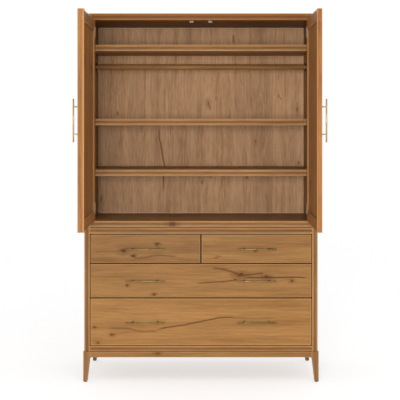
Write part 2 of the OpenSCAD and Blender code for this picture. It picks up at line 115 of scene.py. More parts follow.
class Shader:
    """A material under construction, with a Principled shader at its end."""

    def __init__(self, name: str) -> None:
        """Starts an empty material.

        Args:
            name: name of the material.
        """
        self.material = bpy.data.materials.new(name)
        self.material.use_nodes = True
        self.tree = self.material.node_tree
        self.surface = self.tree.nodes["Principled BSDF"]

    def node(self, kind: str, settings: dict[str, object], inputs: dict[str | int, object]) -> bpy.types.Node:
        """Adds a node.

        Args:
            kind: node type.
            settings: attributes set before the sockets; a ramp's "stops" is a list of (place, colour).
            inputs: socket name or index to a number, colour, Value or socket.

        Returns:
            The new node.
        """
        made = self.tree.nodes.new(kind)
        for key, setting in settings.items():
            if key == "stops":
                self._set_stops(made, setting)
            elif key == "points":
                self._set_points(made, setting)
            else:
                setattr(made, key, setting)
        for key, given in inputs.items():
            self.feed(made.inputs[key], given)
        return made

    @staticmethod
    def _set_stops(ramp: bpy.types.Node, stops: Sequence[tuple[float, Triple]]) -> None:
        """Gives a Color Ramp its stops."""
        elements = ramp.color_ramp.elements
        while len(elements) < len(stops):
            elements.new(1.0)
        for element, (place, colour) in zip(elements, stops):
            element.position = place
            element.color = (*colour, 1.0)

    @staticmethod
    def _set_points(curve: bpy.types.Node, points: Sequence[Pair]) -> None:
        """Gives a Float Curve its points, which run from 0 to 1."""
        line = curve.mapping.curves[0]
        while len(line.points) < len(points):
            line.points.new(1.0, 1.0)
        for point, place in zip(line.points, points):
            point.location = place
        curve.mapping.update()

    def feed(self, socket: Socket, given: object) -> None:
        """Links a Value or socket to a socket, or sets the socket's own number or colour."""
        if isinstance(given, Value):
            given = given.socket
        if isinstance(given, Socket):
            self.tree.links.new(given, socket)
        elif isinstance(given, tuple) and socket.type == "RGBA" and len(given) == 3:
            socket.default_value = (*given, 1.0)
        else:
            socket.default_value = given

    def value(self, kind: str, settings: dict[str, object], inputs: dict[str | int, object]) -> Value:
        """Adds a node and wraps its first output."""
        return Value(self, self.node(kind, settings, inputs).outputs[0])

    def vector(self, x: object, y: object, z: object) -> Socket:
        """Joins three values into a vector."""
        return self.node("ShaderNodeCombineXYZ", {}, {"X": x, "Y": y, "Z": z}).outputs[0]

    def noise(self, place: object, detail: float = 3.0, rough: float = 0.5, warp: float = 0.0) -> Value:
        """Noise at a place that is already scaled."""
        inputs = {"Vector": place, "Scale": 1.0, "Detail": detail, "Roughness": rough, "Distortion": warp}
        return self.value("ShaderNodeTexNoise", {}, inputs)

    def ramp(self, factor: object, stops: Sequence[tuple[float, Triple]]) -> Socket:
        """Colour by value."""
        return self.node("ShaderNodeValToRGB", {"stops": stops}, {"Fac": factor}).outputs[0]

    def blend(self, factor: object, first: object, second: object, how: str = "MIX") -> Socket:
        """Mixes two colours."""
        settings = {"data_type": "RGBA", "blend_type": how, "clamp_factor": True}
        return self.node("ShaderNodeMix", settings, {0: factor, 6: first, 7: second}).outputs[2]

    def dress(self, **sockets: object) -> None:
        """Feeds the Principled shader; an underscore in a name stands for a space."""
        for name, given in sockets.items():
            self.feed(self.surface.inputs[name.replace("_", " ")], given)

    def bump(self, height: Value, strength: float, distance: float) -> Socket:
        """A surface normal from a height."""
        inputs = {"Height": height, "Strength": strength, "Distance": distance}
        return self.node("ShaderNodeBump", {}, inputs).outputs[0]


# ---------------------------------------------------------------- finishes


@dataclass(frozen=True)
class Knot:
    """A knot in a board's face: its place along and across the grain, its radius (metres) and stretch."""

    along: float
    across: float
    radius: float
    stretch: float = 1.5


@dataclass(frozen=True)
class Crack:
    """A dark shake or streak led through points (along, across), in metres."""

    points: tuple[Pair, ...]
    width: float = 0.0018
    depth: float = 1.0
    soft: float = 0.0

    def shade(self, s: Shader, u: Value, v: Value, jag: Value) -> Value:
        """How dark the crack makes each place.

        Args:
            s: the shader.
            u: place along the grain.
            v: place across it.
            jag: a small wander that makes the line uneven.

        Returns:
            0 off the crack, up to its depth on it.
        """
        us, vs = zip(*self.points)
        start, reach, low = min(us), max(us) - min(us), min(vs)
        rise = max(max(vs) - low, 0.001)
        run = (u - start) / reach
        path = [((a - start) / reach, (b - low) / rise) for a, b in self.points]
        bend = s.value("ShaderNodeFloatCurve", {"points": path}, {"Factor": 1.0, "Value": run})
        off = abs(v - low - bend * rise - jag * 0.006)
        inside = run.step(0.0, 0.12) * run.step(1.0, 0.88)
        wide = (inside * 0.8 + 0.2) * self.width * (jag * 1.2 + 1.0)
        line = (off / wide).step(1.4, 0.4) * inside
        if self.soft:
            line = line.highest(off.step(self.soft, 0.0) * inside * 0.45)
        return line * self.depth


@dataclass(frozen=True)
class WoodFinish:
    """An oiled wood: its colours, the width of its joined planks, and what marks it."""

    name: str
    pale: Triple
    mid: Triple
    deep: Triple
    plank: float = 0.16
    plank_contrast: float = 0.12
    band_rate: float = 24.0
    wild: float = 0.35
    knots: tuple[Knot, ...] = ()
    cracks: tuple[Crack, ...] = ()
    roughness: float = 0.46
    relief: float = 0.35
    cloud: float = 0.34
    short: float = 1.0
    knot_depth: float = 1.0

    def make(self) -> Material:
        """Builds the material.

        Returns:
            A material that reads each board's own grain coordinates.
        """
        s = Shader(self.name)
        grain = s.node("ShaderNodeAttribute", {"attribute_name": "grain"}, {}).outputs["Vector"]
        parts = s.node("ShaderNodeSeparateXYZ", {}, {"Vector": grain})
        u, v, w = (Value(s, parts.outputs[i]) for i in range(3))
        wander = s.noise(s.vector(u * 1.1, v * 4.0, w * 4.0), detail=2.0) - 0.5
        v1 = v + wander * 0.05
        flow, core, halo = self._knots(s, u, v1)

        def figure(along: float, across: float, **noise: float) -> Value:
            """Noise drawn out along the grain, with this many waves a metre each way."""
            return s.noise(s.vector(u * along, flow * across, w * across), **noise)

        bands = figure(0.7 * self.short, self.band_rate, detail=3.0, warp=0.25)
        streaks = figure(6.0 * self.short, 150.0, detail=3.0, rough=0.62)
        fibre = figure(28.0, 900.0, detail=2.0)
        pores = figure(45.0, 1300.0, detail=1.0).step(0.60, 0.76)
        clusters = figure(2.0, 60.0, detail=2.0).step(0.35, 0.7)
        tone = bands * 0.38 + streaks * 0.44 + fibre * 0.18
        colour = s.ramp(tone, [(0.36, self.deep), (0.5, self.mid), (0.64, self.pale)])
        colour = self._planks(s, colour, u, v1)
        colour = s.blend(pores * clusters * 0.5, colour, scaled(self.deep, 0.5, 0.5, 0.5))
        colour = s.blend(halo * (0.6 * self.knot_depth), colour, scaled(self.deep, 0.82, 0.68, 0.5))
        marks = (core * self.knot_depth).highest(self._shakes(s, u, v, flow))
        colour = s.blend(marks, colour, scaled(self.deep, 0.46, 0.34, 0.18))
        colour = self._painted_edge_highlight_and_groove_shade(s, colour)
        height = bands * 0.3 + streaks * 0.4 + fibre * 0.3 - pores * 0.6 - marks * 1.5
        s.dress(
            Base_Color=colour,
            Roughness=fibre * 0.14 + pores * 0.15 + (self.roughness - 0.08),
            Normal=s.bump(height, self.relief, 0.0006),
            Specular_IOR_Level=0.11,
        )
        return s.material

    def _knots(self, s: Shader, u: Value, v: Value) -> tuple[Value, Value, Value]:
        """The grain's lines led round the knots, the knots' dark middles, and the shade about them."""
        flow = v
        speck = s.noise(s.vector(u * 60.0, v * 60.0, 0.0), detail=2.0) - 0.5
        core = speck * 0.0
        halo = speck * 0.0
        for knot in self.knots:
            du = (u - knot.along) / knot.stretch
            dv = v - knot.across
            square = du * du + dv * dv
            area = knot.radius**2
            flow = flow - dv * (area * 2.2) / (square + area * 0.8)
            near = square.root() / knot.radius + speck * 1.9
            core = core.highest(near.step(0.95, 0.45))
            halo = halo.highest(near.step(2.6, 0.8))
        wild_core, wild_halo = self._wild_knots(s, u, v, speck)
        return flow, core.highest(wild_core), halo.highest(wild_halo)

    def _wild_knots(self, s: Shader, u: Value, v: Value, speck: Value) -> tuple[Value, Value]:
        """Small knots strewn thinly over any board."""
        place = {"Vector": s.vector(u * 2.6, v * 5.5, 0.0), "Scale": 1.0}
        cells = s.node("ShaderNodeTexVoronoi", {"voronoi_dimensions": "2D"}, place)
        pick = s.node("ShaderNodeSeparateColor", {}, {"Color": cells.outputs["Color"]})
        rarity = 1.0 - self.wild * 0.5
        chosen = Value(s, pick.outputs[0]).step(rarity, rarity + 0.02)
        size = Value(s, pick.outputs[1]) * 0.05 + 0.025
        near = Value(s, cells.outputs["Distance"]) / size + speck * 1.2
        return near.step(1.0, 0.5) * chosen, near.step(2.8, 0.8) * chosen

    def _shakes(self, s: Shader, u: Value, v: Value, flow: Value) -> Value:
        """Dark splits along the grain: the listed ones and thin chance ones."""
        line = abs(s.noise(s.vector(u * 1.3, flow * 13.0, 0.0), detail=2.0) - 0.5)
        patch = s.noise(s.vector(u * 2.1 + 7.0, v * 3.4, 0.0), detail=1.0)
        found = line.step(0.007, 0.0015) * patch.step(0.66 - self.wild * 0.12, 0.74 - self.wild * 0.12) * 0.7
        jag = s.noise(s.vector(u * 22.0, v * 8.0, 0.0), detail=3.0) - 0.5
        for crack in self.cracks:
            found = found.highest(crack.shade(s, u, v, jag))
        return found

    def _planks(self, s: Shader, colour: object, u: Value, v: Value) -> Socket:
        """Each joined plank a little lighter or darker than the next, with a fine joint line."""
        place = v / self.plank
        number = place.floor()
        chance = s.value("ShaderNodeTexWhiteNoise", {"noise_dimensions": "1D"}, {"W": number})
        cloud = s.noise(s.vector(u * 3.0, v * 9.0, number * 3.0), detail=3.0)
        level = (chance - 0.5) * self.plank_contrast + (cloud - 0.5) * self.cloud + 1.0
        joint = 1.0 - abs(place - number - 0.5).step(0.492, 0.5) * (self.plank_contrast * 1.6)
        grey = s.vector(level * joint, level * joint, level * joint)
        return s.blend(1.0, colour, grey, "MULTIPLY")

    def _painted_edge_highlight_and_groove_shade(self, s: Shader, colour: object) -> Socket:
        """Paints a highlight, with some edge wear, along eased edges and painted shade in the grooves."""
        tone = Value(s, s.node("ShaderNodeAttribute", {"attribute_name": "tone"}, {}).outputs["Fac"])
        # painted highlight with some edge wear: paler where the tone is above 0
        colour = s.blend(tone.highest(0.0) * 0.75, colour, scaled(self.pale, 1.40, 1.50, 1.75))
        # painted shade: darker in grooves, where the tone is below 0
        return s.blend((tone * -1.0).highest(0.0) * 0.55, colour, scaled(self.deep, 0.6, 0.6, 0.6))


@dataclass(frozen=True)
class MetalFinish:
    """A metal with a brushed or satin surface."""

    name: str
    colour: Triple
    shade: Triple
    roughness: float
    metallic: float = 1.0
    brush: Triple = (900.0, 60.0, 900.0)
    cloud: Triple = (38.0, 38.0, 38.0)

    def make(self) -> Material:
        """Builds the material.

        Returns:
            A material that reads object coordinates.
        """
        s = Shader(self.name)
        place = s.node("ShaderNodeTexCoord", {}, {}).outputs["Object"]
        brushed, cloud = (
            s.noise(s.node("ShaderNodeVectorMath", {"operation": "MULTIPLY"}, {0: place, 1: rate}).outputs[0])
            for rate in (self.brush, self.cloud)
        )
        tarnish = cloud.step(0.42, 0.72)
        s.dress(
            Base_Color=s.blend(tarnish * 0.7, self.colour, self.shade),
            Metallic=self.metallic,
            Roughness=brushed * 0.16 + tarnish * 0.12 + (self.roughness - 0.1),
            Normal=s.bump(brushed, 0.12, 0.0002),
        )
        return s.material


@dataclass(frozen=True)
class FeltFinish:
    """Pressed felt."""

    name: str
    colour: Triple

    def make(self) -> Material:
        """Builds the material."""
        s = Shader(self.name)
        place = s.node("ShaderNodeTexCoord", {}, {}).outputs["Object"]
        fuzz = s.value("ShaderNodeTexNoise", {}, {"Vector": place, "Scale": 2500.0, "Detail": 2.0})
        s.dress(
            Base_Color=s.blend(fuzz, self.colour, scaled(self.colour, 1.8, 1.8, 1.8)),
            Roughness=0.95,
            Normal=s.bump(fuzz, 0.5, 0.0004),
        )
        return s.material


class Palette:
    """Every finish on the armoire, made once."""

    def __init__(self) -> None:
        """Makes the materials."""
        self.frame = WoodFinish(
            "oiled_oak_frame",
            (0.308, 0.150, 0.052), (0.222, 0.103, 0.032), (0.144, 0.062, 0.017),
            plank=0.19, plank_contrast=0.08,
        ).make()
        self.base = WoodFinish(
            "oiled_oak_base",
            (0.262, 0.130, 0.046), (0.192, 0.091, 0.029), (0.126, 0.056, 0.016),
            plank=0.19, wild=0.2,
        ).make()
        # redder than the frame oak: partly painted shade, standing for the deeper colour of the doors' inner
        # faces in shade
        self.doors = WoodFinish(
            "oiled_oak_doors",
            (0.322, 0.144, 0.045), (0.240, 0.099, 0.027), (0.160, 0.060, 0.014),
            plank=0.17,
        ).make()
        # darker, redder copy of the frame oak: painted shade for the shadowed underside of the cabinet top
        self.dark = WoodFinish(
            "painted_shade_oak",
            (0.222, 0.086, 0.019), (0.168, 0.060, 0.011), (0.108, 0.035, 0.006),
            plank=0.25, wild=0.2,
        ).make()
        # near-black oak: painted shadow, standing for the shade behind the drawer gaps
        self.shade = WoodFinish(
            "painted_shadow_wood",
            (0.060, 0.030, 0.012), (0.042, 0.020, 0.008), (0.028, 0.013, 0.005),
            wild=0.0,
        ).make()
        self.fronts = {
            name: WoodFinish(
                "oiled_oak_" + name,
                *(scaled(c, light, light, light) for c in FRONT_COLOURS),
                plank=0.23, plank_contrast=0.10, wild=0.0, knots=knots, cracks=cracks,
            ).make()
            for name, (light, knots, cracks) in FRONT_MARKS.items()
        }
        self.planks = WoodFinish(
            "oak_planks",
            (0.510, 0.304, 0.168), (0.412, 0.234, 0.120), (0.276, 0.145, 0.067),
            plank=0.205, plank_contrast=0.13, band_rate=30.0, wild=0.0, short=2.4, knot_depth=0.62,
            cloud=0.42, roughness=0.62, knots=BACK_KNOTS, cracks=BACK_CRACKS,
        ).make()
        self.inner = WoodFinish(
            "inner_wood", (0.40, 0.26, 0.13), (0.34, 0.21, 0.10), (0.27, 0.16, 0.07), plank=0.3, wild=0.0
        ).make()
        self.zinc = MetalFinish("satin_zinc", (0.22, 0.20, 0.17), (0.14, 0.125, 0.105), 0.58, 0.3).make()
        self.dull = MetalFinish("dull_steel", (0.085, 0.075, 0.065), (0.050, 0.044, 0.038), 0.62, 0.6).make()
        # one brass in two copies: this lighter one on the door handles is painted light they catch
        self.brass_lit_copy = MetalFinish("door_brass_painted_lighter", (0.400, 0.285, 0.130), (0.260, 0.180, 0.075), 0.40).make()
        # the same brass, darker, on the drawer handles
        self.brass = MetalFinish("drawer_brass_darker", (0.205, 0.145, 0.056), (0.125, 0.086, 0.031), 0.44).make()
        self.bronze = MetalFinish("dark_bronze", (0.10, 0.08, 0.06), (0.04, 0.033, 0.027), 0.45).make()
        self.steel = MetalFinish("nickel_steel", (0.50, 0.48, 0.44), (0.33, 0.31, 0.28), 0.38).make()
        self.felt = FeltFinish("grey_felt", (0.05, 0.045, 0.04)).make()


FRONT_COLOURS: tuple[Triple, ...] = ((0.305, 0.150, 0.047), (0.244, 0.116, 0.034), (0.180, 0.079, 0.021))
FRONT_MARKS: dict[str, tuple[float, tuple[Knot, ...], tuple[Crack, ...]]] = {
    "drawer_top_left": (
        0.80,
        (Knot(-0.416, 0.706, 0.013, 1.5), Knot(-0.236, 0.740, 0.008, 1.4), Knot(-0.362, 0.677, 0.007, 1.6)),
        (
            Crack(((-0.58, 0.702), (-0.50, 0.704), (-0.42, 0.706)), 0.003, 0.35, 0.009),
            Crack(
                ((-0.40, 0.694), (-0.365, 0.676), (-0.33, 0.668), (-0.24, 0.682), (-0.12, 0.672)),
                0.0034, 0.62, 0.012,
            ),
            Crack(((-0.57, 0.742), (-0.48, 0.756)), 0.003, 0.25, 0.007),
        ),
    ),
    "drawer_top_right": (
        0.92,
        (Knot(0.295, 0.712, 0.006, 1.6),),
        (Crack(((0.20, 0.722), (0.30, 0.730), (0.42, 0.722)), 0.002, 0.25, 0.006),),
    ),
    "drawer_middle": (
        0.90,
        (
            Knot(0.213, 0.574, 0.015, 1.9), Knot(0.187, 0.546, 0.006, 1.5), Knot(-0.398, 0.515, 0.006, 1.4),
            Knot(-0.254, 0.470, 0.007, 1.5), Knot(0.491, 0.540, 0.007, 1.5), Knot(0.352, 0.563, 0.009, 2.6),
        ),
        (
            Crack(((0.055, 0.616), (0.13, 0.604), (0.215, 0.573)), 0.0046, 0.75, 0.016),
            Crack(((0.12, 0.612), (0.17, 0.592), (0.22, 0.574)), 0.0036, 0.65, 0.012),
            Crack(((0.20, 0.572), (0.26, 0.577), (0.345, 0.588)), 0.0036, 0.85, 0.010),
            Crack(
                ((0.22, 0.570), (0.27, 0.562), (0.36, 0.562), (0.45, 0.564), (0.59, 0.562)),
                0.0032, 0.95, 0.010,
            ),
            Crack(((-0.03, 0.532), (0.06, 0.537), (0.19, 0.547)), 0.0026, 0.95, 0.007),
        ),
    ),
    "drawer_bottom": (
        1.12,
        (Knot(-0.574, 0.299, 0.006, 1.5), Knot(-0.480, 0.257, 0.008, 1.6), Knot(-0.557, 0.213, 0.006, 1.5)),
        (
            Crack(((-0.51, 0.290), (-0.39, 0.286), (-0.315, 0.273), (-0.22, 0.284)), 0.0032, 0.6, 0.012),
            Crack(
                (
                    (-0.26, 0.277), (-0.19, 0.292), (-0.096, 0.306), (0.047, 0.335), (0.14, 0.348),
                    (0.21, 0.344),
                ),
                0.0029, 1.0, 0.009,
            ),
            Crack(((0.15, 0.347), (0.23, 0.343), (0.40, 0.344)), 0.0020, 0.35, 0.006),
            Crack(((-0.50, 0.254), (-0.45, 0.262), (-0.38, 0.270)), 0.0022, 0.4, 0.006),
        ),
    ),
}


BACK_KNOTS = (
    Knot(1.453, -0.4775, 0.008, 1.6), Knot(1.509, 0.040, 0.010, 2.0), Knot(1.485, 0.048, 0.006, 1.6),
    Knot(1.160, 0.5695, 0.009, 1.4), Knot(1.0826, 0.055, 0.008, 1.5), Knot(1.078, 0.269, 0.006, 1.5),
    Knot(1.048, 0.004, 0.004, 2.0), Knot(1.2845, 0.310, 0.004, 3.0), Knot(1.540, 0.087, 0.005, 1.8),
    Knot(0.950, -0.576, 0.008, 3.0), Knot(1.475, 0.560, 0.008, 3.0),
)
BACK_CRACKS = (
    Crack(
        (
            (0.98, -0.218), (1.083, -0.2196), (1.147, -0.213), (1.173, -0.2196), (1.272, -0.235),
            (1.327, -0.2454), (1.385, -0.242),
        ),
        0.0034, 0.95, 0.010,
    ),
    Crack(((1.04, -0.219), (1.09, -0.2196), (1.11, -0.218)), 0.004, 0.6, 0.010),
    Crack(((1.56, 0.090), (1.64, 0.094), (1.70, 0.104)), 0.0022, 0.45, 0.010),
    Crack(((1.49, -0.215), (1.55, -0.214), (1.60, -0.218)), 0.0022, 0.35, 0.008),
    Crack(((1.23, -0.476), (1.29, -0.478)), 0.0022, 0.4, 0.008),
    Crack(((1.865, 0.190), (1.915, 0.190)), 0.0034, 0.8, 0.010),
    Crack(((1.28, 0.093), (1.38, 0.096)), 0.0022, 0.35, 0.008),
)


# ---------------------------------------------------------------- mesh making


class Axis(Enum):
    """The way a board's grain runs."""

    X = 0
    Y = 1
    Z = 2


@dataclass
class Ring:
    """One closed loop of a solid's surface, and its tone: +1 for a painted highlight with some edge wear, -1
    for painted shade in a groove.
    """

    points: list[Vector]
    tones: list[float]


class MeshMaker:
    """Gathers skinned rings into one mesh with grain coordinates."""

    def __init__(self, name: str) -> None:
        """Starts an empty mesh."""
        self.name = name
        self.points: list[Vector] = []
        self.tones: list[float] = []
        self.grains: list[Vector] = []
        self.faces: list[tuple[int, ...]] = []
        self.smooth: list[bool] = []

    def skin(self, rings: Sequence[Ring], grain: "Grain", smooth: bool = False) -> None:
        """Joins rings of equal length into a tube and fills its ends.

        Args:
            rings: loops in order.
            grain: the board's grain coordinates.
            smooth: whether the faces are shaded smooth.
        """
        start = len(self.points)
        size = len(rings[0].points)
        for ring in rings:
            self.points += ring.points
            self.tones += ring.tones
            self.grains += [grain.at(p) for p in ring.points]
        for row in range(len(rings) - 1):
            low, high = start + row * size, start + (row + 1) * size
            for i in range(size):
                j = (i + 1) % size
                self.faces.append((low + i, low + j, high + j, high + i))
                self.smooth.append(smooth)
        last = start + (len(rings) - 1) * size
        self.faces.append(tuple(range(start, start + size))[::-1])
        self.faces.append(tuple(range(last, last + size)))
        self.smooth += [False, False]

    def finish(self, material: Material, turn: Matrix | None = None) -> bpy.types.Object:
        """Makes the object.

        Args:
            material: its finish.
            turn: a placement of the points, which the grain coordinates ignore.

        Returns:
            The new object, linked to the scene.
        """
        mesh = bpy.data.meshes.new(self.name)
        placed = [turn @ p for p in self.points] if turn else self.points
        mesh.from_pydata(placed, [], self.faces)
        mesh.polygons.foreach_set("use_smooth", self.smooth)
        mesh.attributes.new("grain", "FLOAT_VECTOR", "POINT").data.foreach_set(
            "vector", [c for g in self.grains for c in g]
        )
        # tone attribute: painted edge highlight above 0, painted groove shade below 0
        mesh.attributes.new("tone", "FLOAT", "POINT").data.foreach_set("value", self.tones)
        mesh.materials.append(material)
        mesh.validate()
        mesh.update()
        made = bpy.data.objects.new(self.name, mesh)
        bpy.context.collection.objects.link(made)
        self._face_outwards(made)
        return made

    @staticmethod
    def _face_outwards(made: bpy.types.Object) -> None:
        """Turns every face of a closed mesh outwards."""
        work = bmesh.new()
        work.from_mesh(made.data)
        bmesh.ops.recalc_face_normals(work, faces=work.faces)
        work.to_mesh(made.data)
        work.free()


@dataclass(frozen=True)
class Grain:
    """Grain coordinates of a board: along it, across its face and through it, shifted by a chance amount."""

    along: Axis
    across: Axis
    shift: Triple = (0.0, 0.0, 0.0)

    @classmethod
    def of(cls, low: Vector, high: Vector, along: Axis, seed: int | None) -> "Grain":
        """The grain of a box-shaped board.

        Args:
            low: lowest corner.
            high: highest corner.
            along: the way the grain runs.
            seed: picks the piece of timber; None keeps the board's own coordinates.

        Returns:
            Its grain coordinates.
        """
        size = high - low
        others = sorted((a for a in Axis if a is not along), key=lambda a: -size[a.value])
        if seed is None:
            return cls(along, others[0])
        chance = random.Random(seed)
        return cls(along, others[0], tuple(chance.uniform(-40.0, 40.0) for _ in range(3)))

    def at(self, point: Vector) -> Vector:
        """The grain coordinates of a point."""
        through = next(a for a in Axis if a not in (self.along, self.across))
        own = (point[self.along.value], point[self.across.value], point[through.value])
        return Vector(c + s for c, s in zip(own, self.shift))


@dataclass(frozen=True)
class Bead:
    """A shallow groove along the front edge of a board."""

    width: float = 13 * MM
    depth: float = 2 * MM
    steps: int = 10


@dataclass(frozen=True)
class Edge:
    """How a board's corners are eased."""

    radius: float = 1.6 * MM
    steps: int = 3


class Joinery:
    """Builds boards from their corners."""

    def __init__(self, edge: Edge = Edge(), bead: Bead = Bead()) -> None:
        """Keeps the eased edge and the bead groove that the boards share."""
        self.edge = edge
        self.bead = bead

    def outline(self, low: Pair, high: Pair, radius: float) -> Outline:
        """A rectangle with rounded corners, as (a, b, tone), anticlockwise from the low corner; tone 1 on the
        corners marks a painted highlight with some edge wear.
        """
        points: Outline = []
        (left, bottom), (right, top) = low, high
        for a, b, start in ((left, bottom, 180), (right, bottom, 270), (right, top, 0), (left, top, 90)):
            ca = a + radius if a == left else a - radius
            cb = b + radius if b == bottom else b - radius
            for i in range(self.edge.steps + 1):
                angle = math.radians(start + 90 * i / self.edge.steps)
                points.append((ca + radius * math.cos(angle), cb + radius * math.sin(angle), 1.0))
        return self._with_calm(points, radius)

    @staticmethod
    def _with_calm(points: Outline, radius: float) -> Outline:
        """Adds a point without painted highlight just past each end of every long side."""
        out: Outline = []
        for i, point in enumerate(points):
            out.append(point)
            after = points[(i + 1) % len(points)]
            da, db = after[0] - point[0], after[1] - point[1]
            gap = math.hypot(da, db)
            if gap > 5 * radius:
                for t in (1.6 * radius / gap, 1 - 1.6 * radius / gap):
                    out.append((point[0] + da * t, point[1] + db * t, 0.0))
        return out

    def beaded(self, points: Outline, middle: float, front: float, across: int) -> Outline:
        """Cuts the bead groove into the front side of an outline.

        Args:
            points: the outline.
            middle: where the groove's middle lies along the front side.
            front: the coordinate of the front side.
            across: 0 if the groove's width runs along a, 1 if along b.

        Returns:
            The outline with the groove in it.
        """
        depth_way = 1 - across
        sides = [i for i, p in enumerate(points) if abs(p[depth_way] - front) < 1e-7 and p[2] == 0.0]
        first, second = sides[0], sides[1]
        forward = points[second][across] > points[first][across]
        groove = []
        for i in range(self.bead.steps + 1):
            t = i / self.bead.steps if forward else 1 - i / self.bead.steps
            place = middle + (t - 0.5) * self.bead.width
            depth = self.bead.depth * math.sin(math.pi * t) ** 0.5 if 0 < t < 1 else 0.0
            sunk = (place, front + depth) if across == 0 else (front + depth, place)
            # tone: painted shade in the groove, deepest at its bottom; the lips get a slight painted
            # highlight (0.35)
            groove.append((sunk[0], sunk[1], -min(1.0, depth / self.bead.depth) if depth else 0.35))
        return points[: first + 1] + groove + points[second:]

    def extrude(self, maker: MeshMaker, outline: Outline, ends: Pair, along: Axis, grain: Grain) -> None:
        """Runs an outline along an axis, with its two ends eased.

        Args:
            maker: the mesh that takes it.
            outline: (a, b, tone) points in the two other axes, in X, Y, Z order.
            ends: lowest and highest place along the axis.
            along: the axis.
            grain: the board's grain coordinates.
        """
        r = self.edge.radius
        low = (min(p[0] for p in outline), min(p[1] for p in outline))
        high = (max(p[0] for p in outline), max(p[1] for p in outline))
        # each station: distance from the end, inset, and its painted highlight with some edge wear
        easing = [(0.0, 3 * r, 0.0), (0.0, r, 1.0), (0.3 * r, 0.3 * r, 1.0)]
        easing += [(r, 0.0, 1.0), (2.6 * r, 0.0, 0.0)]
        stations = [(ends[0] + step, inset, highlight_and_wear) for step, inset, highlight_and_wear in easing]
        stations += [(ends[1] - step, inset, highlight_and_wear) for step, inset, highlight_and_wear in reversed(easing)]
        rings = []
        for place, inset, highlight_and_wear in stations:
            points, tones = [], []
            for a, b, tone in outline:
                a2 = min(max(a, low[0] + inset), high[0] - inset)
                b2 = min(max(b, low[1] + inset), high[1] - inset)
                flat = [a2, b2]
                flat.insert(along.value, place)
                points.append(Vector(flat))
                # groove points keep their painted shade; other points take the painted edge highlight
                tones.append(tone if tone < 0 else (highlight_and_wear if inset > 0 else max(tone, highlight_and_wear)))
            rings.append(Ring(points, tones))
        maker.skin(rings, grain)

    def board(
        self, maker: MeshMaker, low: Vector, high: Vector, along: Axis, seed: int | None, bead: bool = False
    ) -> None:
        """Adds a board with eased edges, and a bead groove along its front edge if asked.

        Args:
            maker: the mesh that takes it.
            low: lowest corner.
            high: highest corner.
            along: the way the grain and the board run.
            seed: picks the piece of timber.
            bead: whether the front edge, towards -Y, has the groove.
        """
        a, b = (axis for axis in Axis if axis is not along)
        outline = self.outline((low[a.value], low[b.value]), (high[a.value], high[b.value]), self.edge.radius)
        if bead:
            across = 0 if b is Axis.Y else 1
            way = (a, b)[across]
            middle = (low[way.value] + high[way.value]) / 2
            outline = self.beaded(outline, middle, low[Axis.Y.value], across)
        grain = Grain.of(low, high, along, seed)
        self.extrude(maker, outline, (low[along.value], high[along.value]), along, grain)

    def slab(
        self, maker: MeshMaker, low: Vector, high: Vector, steps: Sequence[Triple], grain: Grain
    ) -> None:
        """Adds a slab facing -Y whose faces are nested rectangles.

        Args:
            maker: the mesh that takes it.
            low: lowest corner.
            high: highest corner.
            steps: (distance back from the front, inset, tone) from the back to the front.
            grain: the slab's grain coordinates.
        """
        rings = []
        for back, inset, tone in steps:
            first, last = (low.x + inset, low.z + inset), (high.x - inset, high.z - inset)
            flat = self.outline(first, last, max(self.edge.radius - inset, 0.4 * MM))
            rings.append(Ring([Vector((x, low.y + back, z)) for x, z, _ in flat], [tone] * len(flat)))
        maker.skin(rings, grain)


class Lathe:
    """Builds turned pieces."""

    def __init__(self, segments: int = 32) -> None:
        """Keeps how many sides a turned piece has."""
        self.segments = segments

    def turn(self, maker: MeshMaker, foot: Vector, way: Vector, outline: Sequence[Pair]) -> None:
        """Adds a turned piece.

        Args:
            maker: the mesh that takes it.
            foot: where its axis starts.
            way: direction of its axis.
            outline: (distance along the axis, radius) pairs.
        """
        way = way.normalized()
        side = way.orthogonal().normalized()
        other = way.cross(side)
        rings = []
        for along, radius in outline:
            middle = foot + way * along
            turns = (2 * math.pi * i / self.segments for i in range(self.segments))
            points = [middle + (side * math.cos(t) + other * math.sin(t)) * radius for t in turns]
            rings.append(Ring(points, [0.0] * self.segments))
        along = max(Axis, key=lambda a: abs(way[a.value]))
        across = next(a for a in Axis if a is not along)
        maker.skin(rings, Grain(along, across), smooth=True)


# ---------------------------------------------------------------- sub-assemblies


@dataclass
class Workshop:
    """What every sub-assembly shares: the finishes and the ways of making."""

    palette: Palette = field(default_factory=Palette)
    joinery: Joinery = field(default_factory=Joinery)
    lathe: Lathe = field(default_factory=Lathe)
    seed: int = 0

    def next_seed(self) -> int:
        """A new piece of timber."""
        self.seed += 1
        return self.seed


